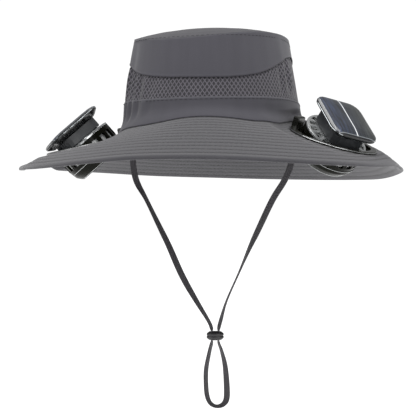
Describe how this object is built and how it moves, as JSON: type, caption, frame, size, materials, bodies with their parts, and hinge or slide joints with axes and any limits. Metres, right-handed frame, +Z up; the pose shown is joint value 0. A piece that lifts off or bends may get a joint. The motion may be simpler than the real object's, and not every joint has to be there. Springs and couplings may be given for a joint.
{
  "type": "sun hat with solar fans",
  "caption": "Wide-brim cloth sun hat with tilting solar-powered fans set through its brim and a hanging chin strap with a cord lock.",
  "frame": {"origin": "middle of the head opening, at the seam of crown and brim", "axes": "+Z up through the crown, the front of the hat faces -Y, the wearer's left is +X"},
  "size_m": [0.38, 0.41, 0.3759],
  "materials": {
    "crown_cloth": "matt grey woven polyester",
    "mesh_cloth": "grey honeycomb mesh",
    "band_cloth": "matt grey woven polyester",
    "brim_cloth": "grey stitched cloth, stiffened",
    "strap_webbing": "dark grey flat braid",
    "lock_plastic": "black, half matt",
    "ring_plastic": "glossy black",
    "housing_plastic": "glossy black",
    "silver_plastic": "bright plated plastic",
    "chrome_trim": "bright plated plastic",
    "motor_steel": "plain steel can",
    "box_plastic": "dark blue-grey, half matt",
    "shell_plastic": "glossy black",
    "cell_glass": "clear coat over a dark blue solar cell"
  },
  "bodies": {
    "hat": {"crown_tip": "crown_cloth", "crown_side": "crown_cloth", "crown_mesh": "mesh_cloth", "crown_band": "band_cloth", "brim": "brim_cloth", "chin_strap": "strap_webbing", "cord_lock": "lock_plastic", "ring_top_left": "ring_plastic", "ring_bottom_left": "ring_plastic", "ring_top_right": "ring_plastic", "ring_bottom_right": "ring_plastic"},
    "fan_head_left": {"fan_housing_left": "housing_plastic", "fan_liner_left": "silver_plastic", "top_grille_left": "silver_plastic", "bottom_guard_left": "housing_plastic", "fan_motor_left": "motor_steel", "battery_box_left": "box_plastic", "panel_shell_left": "shell_plastic", "panel_trim_left": "chrome_trim", "solar_panel_left": "cell_glass"},
    "rotor_left": {"fan_rotor_left": "silver_plastic"},
    "fan_head_right": {"fan_housing_right": "housing_plastic", "fan_liner_right": "silver_plastic", "top_grille_right": "silver_plastic", "bottom_guard_right": "housing_plastic", "fan_motor_right": "motor_steel", "battery_box_right": "box_plastic", "panel_shell_right": "shell_plastic", "panel_trim_right": "chrome_trim", "solar_panel_right": "cell_glass"},
    "rotor_right": {"fan_rotor_right": "silver_plastic"}
  },
  "joints": [
    {"name": "fan_left_tilt", "type": "hinge", "parent": "hat", "child": "fan_head_left", "pos_m": [0.12785, -0.02336, -0.02341], "axis": [0.5778, 0.8122, -0.0802], "range_deg": [-30, 0]},
    {"name": "fan_left_spin", "type": "hinge", "parent": "fan_head_left", "child": "rotor_left", "pos_m": [0.12785, -0.02336, -0.02341], "axis": [0.5777, -0.3376, 0.7431], "continuous": true},
    {"name": "fan_right_tilt", "type": "hinge", "parent": "hat", "child": "fan_head_right", "pos_m": [-0.12805, -0.02335, -0.02347], "axis": [0.443, -0.8944, -0.0619], "range_deg": [-30, 0]},
    {"name": "fan_right_spin", "type": "hinge", "parent": "fan_head_right", "child": "rotor_right", "pos_m": [-0.12805, -0.02335, -0.02347], "axis": [-0.5777, -0.3376, 0.7431], "continuous": true}
  ]
}
